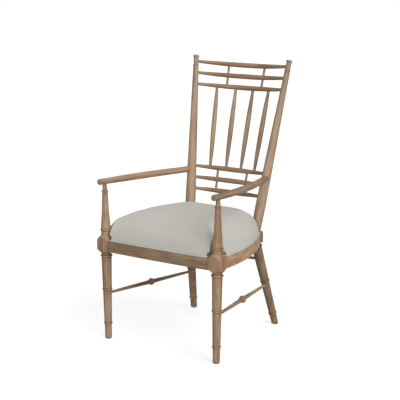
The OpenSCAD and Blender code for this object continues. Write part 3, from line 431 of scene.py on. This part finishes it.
def sweep(name, points, radii, sides=28, closed=False):
    """A round bar along a path, its radius given at each of the path's points."""
    deselect()
    bpy.ops.curve.primitive_nurbs_path_add()
    bar = bpy.context.object
    bar.name = name
    curve = bar.data
    curve.splines.clear()
    spline = curve.splines.new("POLY")
    spline.points.add(len(points) - 1)
    for place, point, radius in zip(spline.points, points, radii):
        place.co = (*point, 1)
        place.radius = radius
    spline.use_cyclic_u = closed
    curve.bevel_depth = 1
    curve.bevel_resolution = sides // 2 - 2
    curve.use_fill_caps = not closed
    bpy.ops.object.convert(target="MESH")
    bar = bpy.context.object
    bpy.ops.object.mode_set(mode="EDIT")
    bpy.ops.mesh.select_all(action="SELECT")
    bpy.ops.mesh.remove_doubles(threshold=SAME_POINT)
    bpy.ops.mesh.normals_make_consistent(inside=False)
    bpy.ops.object.mode_set(mode="OBJECT")
    bpy.ops.object.shade_smooth_by_angle(angle=math.radians(40))
    return bar


# ------------------------------------------------------------------ arms

ARM_OVERHANG = 33.3 * MM
ARM_TIP_R = 12.25 * MM
ARM_MID_R = 14 * MM
ARM_REAR_R = 13 * MM
ARM_EDGE = 1.8 * MM
ARM_EDGE_TURNS = [math.radians(angle) for angle in (0, 22.5, 45, 67.5)]
ARM_STEPS = 60
ARM_WIDEST = 0.45
ARM_FRONT_X = 0.2715
ARM_FRONT_HEIGHT = 0.658
ARM_REAR_HEIGHT = 0.642
# How far the arm's middle is pulled out, back and down from a straight line
ARM_BOW = Vector((0.032, 0.016, -0.0045))


def arm_path(side):
    """The arm's centre line, from its front end over the post's axis to the back post's axis."""
    start = Vector((side * ARM_FRONT_X, FRONT_FOOT.y, ARM_FRONT_HEIGHT))
    end = mirrored(back_axis(ARM_REAR_HEIGHT), side)
    pull = (start + end) / 2 + mirrored(ARM_BOW, side)
    curve = []
    for i in range(ARM_STEPS + 1):
        t = i / ARM_STEPS
        curve.append((1 - t) ** 2 * start + 2 * t * (1 - t) * pull + t * t * end)
    ahead = (pull - start).normalized()
    tip = start - ARM_OVERHANG * ahead
    rounding = [tip + ahead * ARM_EDGE * (1 - math.cos(a)) for a in ARM_EDGE_TURNS]
    return rounding + [tip + ahead * d for d in (ARM_EDGE, 0.5 * ARM_OVERHANG)] + curve


def arm_radii():
    """The arm's radius at each point of its path: a round-edged end, then fullest near its middle."""
    radii = [ARM_TIP_R - ARM_EDGE * (1 - math.sin(a)) for a in ARM_EDGE_TURNS]
    radii += [ARM_TIP_R, ARM_TIP_R]
    for i in range(ARM_STEPS + 1):
        t = i / ARM_STEPS
        if t < ARM_WIDEST:
            fullness = math.sin(t / ARM_WIDEST * math.pi / 2)
            radii.append(ARM_TIP_R + (ARM_MID_R - ARM_TIP_R) * fullness)
        else:
            radii.append(ARM_MID_R + (ARM_REAR_R - ARM_MID_R) * (t - ARM_WIDEST) / (1 - ARM_WIDEST))
    return radii


def arm(side_name):
    """An arm as one turned and bent stick, in its node's place."""
    path = arm_path(SIDES[side_name])
    piece = sweep(f"turned_arm_{side_name}", path, arm_radii())
    note(piece, "grain", along_path(path, piece))
    wear(piece, oak(f"oak_arm_{side_name}", seed=29 + SIDES[side_name],
                    tone=TONES[f"arm_{side_name}"]))
    adopt(piece, "arm_oak", f"arm_{side_name}")


# ------------------------------------------------------------------ bent bars

BAR_BEND = 480 * MM
BAR_MID_R = 10.75 * MM
BAR_END_R = 6.5 * MM
BAR_STEPS = 72
# The share of a bar's bend that is swept, which ends it inside the posts
BAR_REACH = 0.975
# A bar starts to swell at this many millimetres from a post's axis, at the block's height and at
# the post's top
BAR_LEAD_LOW = 23
BAR_LEAD_HIGH = 13
BAR_HEIGHTS = {
    "crest": {"upper": 1.0964, "middle": 1.0492, "lower": 1.002},
    "lumbar": {"upper": 0.6576, "middle": 0.6104, "lower": 0.5632},
}


def bar(group, place, height):
    """A bar bent to one radius, square to the leaning back, that thins towards both posts."""
    end = back_axis(height)
    lean = math.atan2(BACK_TOP.y - REAR_BLOCK.y, BACK_TOP.z - REAR_BLOCK.z)
    away = Vector((0, math.cos(lean), -math.sin(lean)))
    half = math.asin(end.x / BAR_BEND)
    lead = (BAR_LEAD_LOW - (BAR_LEAD_LOW - BAR_LEAD_HIGH) * up_the_back(height)) * MM
    path, radii = [], []
    for i in range(BAR_STEPS + 1):
        a = half * (2 * i / BAR_STEPS - 1) * BAR_REACH
        x = BAR_BEND * math.sin(a)
        bow = BAR_BEND * (math.cos(a) - math.cos(half))
        path.append(Vector((x, end.y, end.z)) + bow * away)
        taper = max(0, (end.x - lead - abs(x)) / (end.x - lead))
        radii.append(BAR_END_R + (BAR_MID_R - BAR_END_R) * (1 - (1 - taper) ** 2))
    piece = sweep(f"bent_{group}_bar_{place}", path, radii)
    note(piece, "grain", along_path(path, piece))
    wear(piece, oak(f"oak_{group}_bar_{place}", seed=37 + 9 * height, tone=TONES["bar"]))
    adopt(piece, "bent_oak", f"{group}_bar_{place}")


# ------------------------------------------------------------------ seat

SEAT_MIDDLE_Y = FRONT_FOOT.y + 245 * MM
# The frame's outline seen from above: bowed front and side rails, and a straight rear one
RAIL_OUTER_R = 750 * MM
# Middle of the circle that the left side rail's outer face lies on
SIDE_CENTRE = Vector((-0.461013, FRONT_FOOT.y + 0.074474))
FRONT_FACE_Y = FRONT_FOOT.y - 24 * MM
FRONT_BOW = 5 * MM
FRONT_HALF = 242.45 * MM
SEAT_REAR_Y = REAR_BLOCK.y + 12 * MM
FRONT_POST = Vector((0.269, FRONT_FOOT.y))
REAR_POST = back_axis(0.425).xy
# The back posts lean outwards and back by these shares of the rise
POST_SPREAD, POST_RAKE = 0.1, 0.2
# Distances that the seat keeps from the posts' axes: the welt's from the front blocks and the
# back posts, and the cover's from the arm posts above the blocks, the back posts, and the front
# blocks where it is stapled
WELT_FRONT_NOTCH, WELT_REAR_NOTCH = 0.038, 0.027
ARM_POST_NOTCH = 0.0245
REAR_NOTCH = 0.0255
STAPLE_FRONT_NOTCH = 0.0375
# Height of the front blocks' shoulders above the seat's base
BLOCK_RISE = 0.0135
CROWN_H = 116 * MM
# The cover tucks in by TUCK behind the welt, and bulges past it from TUCK_ANGLE up the dome
TUCK = 5.2 * MM
TUCK_ANGLE = 25
# The cushion is made this much smaller all over than the cover, and swells to it
START_INSET = 2.5 * MM
SEAT_RAYS = 360
# How widely the outline's corners are rounded, where rails and posts meet
SMOOTHING = 3.5 * MM
# A distance past every edge, for a ray that doesn't meet one
NO_EDGE = 9.0
DOME_LEVELS = [0, 1.5, 4, 7, 11, 16, 21, 26, 32, 38, 44, 50, 56, 62, 67, 72, 76, 80, 83, 86, 88]
VOXEL = 3.8 * MM
PRESSURE = 4.0
SWELL_CAP = 4.5 * MM
SWELL_STEPS = 20
# The cushion's base is held still up to this height
HELD_BELOW = 6 * MM
# The cover's lower edge is drawn out below TACK_TOP, and wholly below TACK_FULL, where it lies
# within TACK_REACH of the staple line, and wholly within TACK_NEAR
TACK_TOP = 22 * MM
TACK_FULL = 6 * MM
TACK_REACH = 14 * MM
TACK_NEAR = 8 * MM
STAPLE_INSET = TUCK + 1 * MM
# The gap between the rails and the welt that rests on them
REST_GAP = 0.3 * MM
WELT_R = 2.5 * MM
WELT_RAYS = 420
WELT_SIDES = 12


def far_side(ray, centre, radius):
    """Distance along a ray from the seat's middle to the far side of a circle."""
    w = Vector((0, SEAT_MIDDLE_Y)) - centre
    b = ray.dot(w)
    return -b + math.sqrt(b * b - w.length_squared + radius * radius)


def near_side(ray, centre, radius):
    """Distance along a ray from the seat's middle to the near side of a circle, if it meets it."""
    w = Vector((0, SEAT_MIDDLE_Y)) - centre
    b = ray.dot(w)
    root = b * b - w.length_squared + radius * radius
    return -b - math.sqrt(root) if root > 0 and b < 0 else NO_EDGE


def rounded_least(values):
    """The least of some distances, with the corner between two close ones rounded off."""
    total = sum(math.exp(-value / SMOOTHING) for value in values)
    return -SMOOTHING * math.log(total)


def seat_edge(angle, inset, scale, front_notch, rear_notch, rise=0.0):
    """A point of the seat's outline, seen from above, on one ray from its middle.

    The rails' outline is inset and scaled, and the posts are cleared by the notches' radii. rise
    is the height above the seat's base, where the back posts have leaned away.
    """
    ray = Vector((math.sin(angle), -math.cos(angle)))
    bow = (FRONT_HALF ** 2 + FRONT_BOW ** 2) / (2 * FRONT_BOW)
    edges = [
        far_side(ray, Vector((0, FRONT_FACE_Y - FRONT_BOW + bow)), bow),
        far_side(ray, SIDE_CENTRE, RAIL_OUTER_R),
        far_side(ray, Vector((-SIDE_CENTRE.x, SIDE_CENTRE.y)), RAIL_OUTER_R),
        (SEAT_REAR_Y - SEAT_MIDDLE_Y) / ray.y if ray.y > 0.05 else NO_EDGE,
    ]
    edges = [(edge - inset) * scale for edge in edges]
    for mirror in (LEFT, RIGHT):
        post = Vector((mirror * FRONT_POST.x, FRONT_POST.y))
        edges.append(near_side(ray, post, front_notch + inset))
        post = Vector((mirror * (REAR_POST.x + POST_SPREAD * rise),
                       REAR_POST.y + POST_RAKE * rise))
        edges.append(near_side(ray, post, rear_notch + inset))
    return Vector((0, SEAT_MIDDLE_Y)) + rounded_least(edges) * ray


def dome_ring(t, inset):
    """One level ring of the cushion, t degrees up its dome."""
    rise = (CROWN_H - inset) * math.sin(math.radians(t))
    tuck = TUCK * max(0, 1 - t / TUCK_ANGLE)
    past_block = min(1, rise / BLOCK_RISE)
    front_notch = WELT_FRONT_NOTCH + (ARM_POST_NOTCH - WELT_FRONT_NOTCH) * past_block
    scale = math.sqrt(max(0, math.cos(math.radians(t))))
    ring = []
    for i in range(SEAT_RAYS):
        angle = 2 * math.pi * i / SEAT_RAYS
        spot = seat_edge(angle, inset + tuck, scale, front_notch, REAR_NOTCH, rise)
        ring.append((spot.x, spot.y, SEAT_BASE + rise))
    return ring


def dome(name, inset):
    """The closed domed shape of the stuffed seat, ring by ring."""
    rings = [dome_ring(t, inset) for t in DOME_LEVELS]
    points = [p for ring in rings for p in ring]
    faces = []
    for level in range(len(DOME_LEVELS) - 1):
        for i in range(SEAT_RAYS):
            a, b = level * SEAT_RAYS + i, level * SEAT_RAYS + (i + 1) % SEAT_RAYS
            faces.append((a, b, b + SEAT_RAYS, a + SEAT_RAYS))
    points.append((0, SEAT_MIDDLE_Y, SEAT_BASE + CROWN_H - inset))
    points.append((0, SEAT_MIDDLE_Y, SEAT_BASE))
    crown, base = len(points) - 2, len(points) - 1
    last = (len(DOME_LEVELS) - 1) * SEAT_RAYS
    for i in range(SEAT_RAYS):
        after = (i + 1) % SEAT_RAYS
        faces.append((last + i, last + after, crown))
        faces.append((after, i, base))
    mesh = bpy.data.meshes.new(name)
    mesh.from_pydata(points, [], faces)
    piece = bpy.data.objects.new(name, mesh)
    bpy.context.scene.collection.objects.link(piece)
    return piece


def swell(piece, pressure, cap):
    """Blows a stuffed piece up as cloth, its base held, and lets no point move further than cap."""
    rest = points_of(piece)
    held = piece.vertex_groups.new(name="held")
    held.add([i for i, p in enumerate(rest) if p[2] < SEAT_BASE + HELD_BELOW], 1.0, "REPLACE")
    cloth = piece.modifiers.new("Cloth", "CLOTH")
    cloth.settings.vertex_group_mass = held.name
    cloth.settings.use_pressure = True
    cloth.settings.uniform_pressure_force = pressure
    cloth.settings.effector_weights.gravity = 0
    cloth.settings.quality = 5
    cloth.collision_settings.use_collision = False
    for step in range(1, SWELL_STEPS + 1):
        bpy.context.scene.frame_set(step)
    pick(piece)
    bpy.ops.object.modifier_apply(modifier=cloth.name)
    bpy.context.scene.frame_set(1)
    moved = points_of(piece) - rest
    far = np.linalg.norm(moved, axis=1)
    share = cap * np.tanh(far / cap) / np.maximum(far, 1e-9)
    set_points(piece, rest + moved * share[:, None])


def flat_cloth(piece):
    """Lays the cover out flat: each point keeps its direction and its length from the crown."""
    spots = points_of(piece)
    crown = np.array([0, SEAT_MIDDLE_Y, spots[:, 2].max()])
    offset = spots - crown
    level = np.linalg.norm(offset[:, :2], axis=1)
    length = np.linalg.norm(offset, axis=1)
    out = offset[:, :2] / np.maximum(level, 1e-6)[:, None] * length[:, None]
    note(piece, "cloth", np.column_stack([out, np.zeros(len(out))]))


def smooth_step(low, high, values):
    """0 at low and 1 at high, with a smooth rise between; low may be the larger."""
    share = np.clip((values - low) / (high - low), 0, 1)
    return share * share * (3 - 2 * share)


def tack_down(piece):
    """Pulls the cover's lower edge back out to the line where it is stapled inside the welt."""
    spots = points_of(piece)
    for i in np.flatnonzero(spots[:, 2] < SEAT_BASE + TACK_TOP):
        x, y, z = spots[i]
        angle = math.atan2(x, -(y - SEAT_MIDDLE_Y))
        reach = math.hypot(x, y - SEAT_MIDDLE_Y)
        line = seat_edge(angle, STAPLE_INSET, 1.0, STAPLE_FRONT_NOTCH, REAR_NOTCH)
        goal = (line - Vector((0, SEAT_MIDDLE_Y))).length
        low_down = smooth_step(TACK_TOP, TACK_FULL, z - SEAT_BASE)
        near_edge = smooth_step(goal - TACK_REACH, goal - TACK_NEAR, reach)
        share = low_down * near_edge
        spots[i, 0] *= 1 + share * (goal / reach - 1)
        spots[i, 1] = SEAT_MIDDLE_Y + (y - SEAT_MIDDLE_Y) * (1 + share * (goal / reach - 1))
    set_points(piece, spots)


def cushion():
    """The stuffed seat in its linen cover, in place of the plain cover and foam."""
    piece = dome("seat_cushion", START_INSET)
    apply_modifier(piece, "REMESH", mode="VOXEL", voxel_size=VOXEL, use_smooth_shade=True)
    swell(piece, PRESSURE, SWELL_CAP)
    apply_modifier(piece, "SMOOTH", factor=0.5, iterations=3)
    tack_down(piece)
    flat_cloth(piece)
    smooth = piece.modifiers.new("Subdivision", "SUBSURF")
    smooth.levels = smooth.render_levels = 1
    wear(piece, linen("linen_cover", COVER_TINT))
    adopt(piece, "linen", "seat_cover", "seat_foam")


def welt():
    """The cloth-covered cord along the seat's lower edge."""
    height = RAIL_TOP + REST_GAP + WELT_R
    path = []
    for i in range(WELT_RAYS):
        spot = seat_edge(2 * math.pi * i / WELT_RAYS, TUCK - WELT_R, 1.0, WELT_FRONT_NOTCH,
                         WELT_REAR_NOTCH)
        path.append((spot.x, spot.y, height))
    piece = sweep("welt_cord", path, [WELT_R] * WELT_RAYS, WELT_SIDES, closed=True)
    turned = along_path(path, piece)
    around = np.arctan2(turned[:, 1], turned[:, 0]) * WELT_R
    note(piece, "cloth", np.column_stack([around + turned[:, 2], turned[:, 2] - around,
                                          np.zeros(len(around))]))
    wear(piece, linen("linen_welt", WELT_TINT))
    adopt(piece, "welt_linen", "seat_welt")


# ------------------------------------------------------------------ painting the frame's nodes

# Heights of the turned rings' middles above the floor, and the rings' thicknesses, in millimetres
FRONT_RINGS = [66, 211, 352]
ARM_POST_RINGS = [459, 617]
REAR_RINGS = [51, 199.5, 356]
BACK_RING = 1079.5
LEG_RING_H = 9
SMALL_RING_H = 7
# Height of the dark line round the end of each foot: painted shade where it meets the floor, with
# some dirt
FOOT_SHADE_LINE = 5 * MM
# Directions of the left side rail and side stretcher, from front to back
SIDE_RAIL_RUN = Vector((-(0.287 - 0.203), 0.43 - 0.027, 0))
SIDE_STRETCHER_RUN = Vector((0.1871 - 0.2666, 0.1866 + 0.3119, -0.0103))
UP = (0, 0, 1)
ACROSS = (1, 0, 0)
CORNER_GRAIN = (0.7071, 0.7071, 0)


def ring_edges(heights, thickness, stretch=1.0):
    """Where rings meet the turning below and above them; stretch is length per height."""
    return [MM * (h + side * thickness / 2) * stretch for h in heights for side in (-1, 1)]


def front_post(side_name, side):
    """A dark line of painted shade and dirt round the foot, and lines of glazing at each ring of a
    front post.
    """
    lengths = ([FOOT_SHADE_LINE] + ring_edges(FRONT_RINGS, LEG_RING_H)
               + ring_edges(ARM_POST_RINGS, SMALL_RING_H))
    wear(f"front_post_{side_name}",
         oak(f"oak_front_post_{side_name}", UP, 3 + side, TONES["front_post"],
             [(UP, (0, 0, 0), lengths)], FRONT_POST_UPPER))


def rear_post(side_name, side, back):
    """A dark line of painted shade and dirt round the foot, and lines of glazing at the leg's rings
    and at the ring near the back post's top.
    """
    low = Vector((side * REAR_FOOT.x, REAR_FOOT.y, 0))
    block = mirrored(REAR_BLOCK, side)
    leg = (block - low).normalized()
    leg_lengths = [FOOT_SHADE_LINE] + ring_edges(REAR_RINGS, LEG_RING_H, 1 / leg.z)
    back_lengths = [h / back.z for h in ring_edges([BACK_RING - BLOCK_HEIGHT], SMALL_RING_H)]
    lines = [(tuple(leg), tuple(low), leg_lengths), (tuple(back), tuple(block), back_lengths)]
    wear(f"rear_post_{side_name}",
         oak(f"oak_rear_post_{side_name}", tuple(back), 7 + side, TONES[f"rear_leg_{side_name}"],
             lines, REAR_POST_UPPER))


def side_of_chair(side_name, side):
    """Everything that one side of the chair has of its own."""
    back = (mirrored(BACK_TOP, side) - mirrored(REAR_BLOCK, side)).normalized()
    front_post(side_name, side)
    rear_post(side_name, side, back)
    eased(f"side_rail_{side_name}", "rail_oak",
          oak(f"oak_side_rail_{side_name}", tuple(mirrored(SIDE_RAIL_RUN, side).normalized()),
              11 + side, TONES["side_rail"]))
    wear(f"side_stretcher_{side_name}",
         oak(f"oak_side_stretcher_{side_name}",
             tuple(mirrored(SIDE_STRETCHER_RUN, side).normalized()), 13 + side,
             TONES["side_stretcher"]))
    for place in ("front", "rear"):
        wear(f"corner_block_{place}_{side_name}",
             sawn(f"beech_{place}_{side_name}", (205, 168, 122), (176, 136, 92), CORNER_GRAIN))
        wear(f"glide_{place}_{side_name}",
             speckled(f"nylon_{place}_{side_name}", (46, 42, 38), (34, 31, 28), 600, 0.45))
    for group in ("crest", "lumbar"):
        for gap in ("upper", "lower"):
            name = f"{group}_strut_{gap}_{side_name}"
            wear(name, oak(f"oak_{name}", tuple(back), 17 + side, TONES["strut"]))
    for gap in ("outer", "inner"):
        name = f"spindle_{gap}_{side_name}"
        wear(name, oak(f"oak_{name}", tuple(back), 23 + side, TONES["spindle"]))
    arm(side_name)


def across_the_chair():
    """The rails, stretcher and bars that join the two sides."""
    for name in ("front_rail", "rear_rail"):
        eased(name, "rail_oak", oak(f"oak_{name}", ACROSS, 31, TONES["end_rail"]))
    wear("rear_stretcher", oak("oak_rear_stretcher", ACROSS, 33, TONES["rear_stretcher"]))
    for group, heights in BAR_HEIGHTS.items():
        for place, height in heights.items():
            bar(group, place, height)


def under_the_seat():
    """The plywood board, the dust cover and the screws."""
    wear("seat_board", sawn("birch_plywood", (214, 184, 140), (190, 156, 110), (0, 1, 0)))
    wear("dust_cover", speckled("black_cambric", (28, 28, 30), (18, 18, 20), 900, 0.9))
    for name in ("corner_block_screws", "seat_screws"):
        wear(name, speckled(f"zinc_{name}", (196, 184, 140), (160, 150, 118), 300, 0.35, 1.0))


for side_name, side in SIDES.items():
    side_of_chair(side_name, side)
across_the_chair()
under_the_seat()
cushion()
welt()


# ------------------------------------------------------------------ stage, light and camera

CAMERA_ASIDE = 2.5037
CAMERA_AHEAD = 3.4347
CAMERA_HEIGHT = 1.5269
CAMERA_TURN = 33.972
CAMERA_TILT = 12.135
CAMERA_LENS = 100.7
BACKDROP = 1.0
AMBIENT = 0.33
FLOOR_GREY = 0.58
FLOOR_GLOW = 0.66


def floor():
    """A plain pale floor that glows a little, and throws no light back up at the chair."""
    bpy.ops.mesh.primitive_plane_add(size=40, location=(0, 0, 0))
    plane = bpy.context.object
    plane.name = "floor"
    paint = Paint("pale_floor")
    wear(plane, paint.finish(Base_Color=(FLOOR_GREY, FLOOR_GREY, FLOOR_GREY, 1), Roughness=0.9,
                             Specular_IOR_Level=0.1, Emission_Color=(1, 1, 1, 1),
                             Emission_Strength=FLOOR_GLOW))
    plane.visible_diffuse = False
    plane.visible_glossy = False


def sun(name, turn, lift, softness, strength):
    """A broad soft light; turn is measured as the camera's is, and softness is its width.

    All three are in degrees.
    """
    a, e = math.radians(turn), math.radians(lift)
    away = Vector((math.sin(a) * math.cos(e), -math.cos(a) * math.cos(e), math.sin(e)))
    data = bpy.data.lights.new(name, "SUN")
    data.angle = math.radians(softness)
    data.energy = strength
    light = bpy.data.objects.new(name, data)
    light.rotation_euler = away.to_track_quat("Z", "Y").to_euler()
    bpy.context.scene.collection.objects.link(light)


def surroundings():
    """White behind the floor's far edge, and a dimmer even light from all round."""
    world = bpy.data.worlds.new("studio")
    bpy.context.scene.world = world
    world.use_nodes = True
    nodes, links = world.node_tree.nodes, world.node_tree.links
    nodes.clear()
    seen = nodes.new("ShaderNodeBackground")
    seen.inputs["Color"].default_value = (1, 1, 1, 1)
    seen.inputs["Strength"].default_value = BACKDROP
    lit = nodes.new("ShaderNodeBackground")
    lit.inputs["Color"].default_value = (0.94, 0.97, 1, 1)
    lit.inputs["Strength"].default_value = AMBIENT
    path = nodes.new("ShaderNodeLightPath")
    mix = nodes.new("ShaderNodeMixShader")
    out = nodes.new("ShaderNodeOutputWorld")
    links.new(path.outputs["Is Camera Ray"], mix.inputs[0])
    links.new(lit.outputs[0], mix.inputs[1])
    links.new(seen.outputs[0], mix.inputs[2])
    links.new(mix.outputs[0], out.inputs["Surface"])


def camera():
    """The camera, placed from the front feet."""
    data = bpy.data.cameras.new("camera")
    data.lens = CAMERA_LENS
    eye = bpy.data.objects.new("camera", data)
    eye.location = (CAMERA_ASIDE, FRONT_FOOT.y - CAMERA_AHEAD, CAMERA_HEIGHT)
    eye.rotation_euler = (math.radians(90 - CAMERA_TILT), 0, math.radians(CAMERA_TURN))
    bpy.context.scene.collection.objects.link(eye)
    bpy.context.scene.camera = eye


floor()
sun("key", 72, 35, 40, 1.85)
sun("front", 5, 14, 50, 0.7)
sun("behind", 205, 40, 50, 0.4)
surroundings()
camera()
bpy.context.scene.view_settings.view_transform = "Standard"
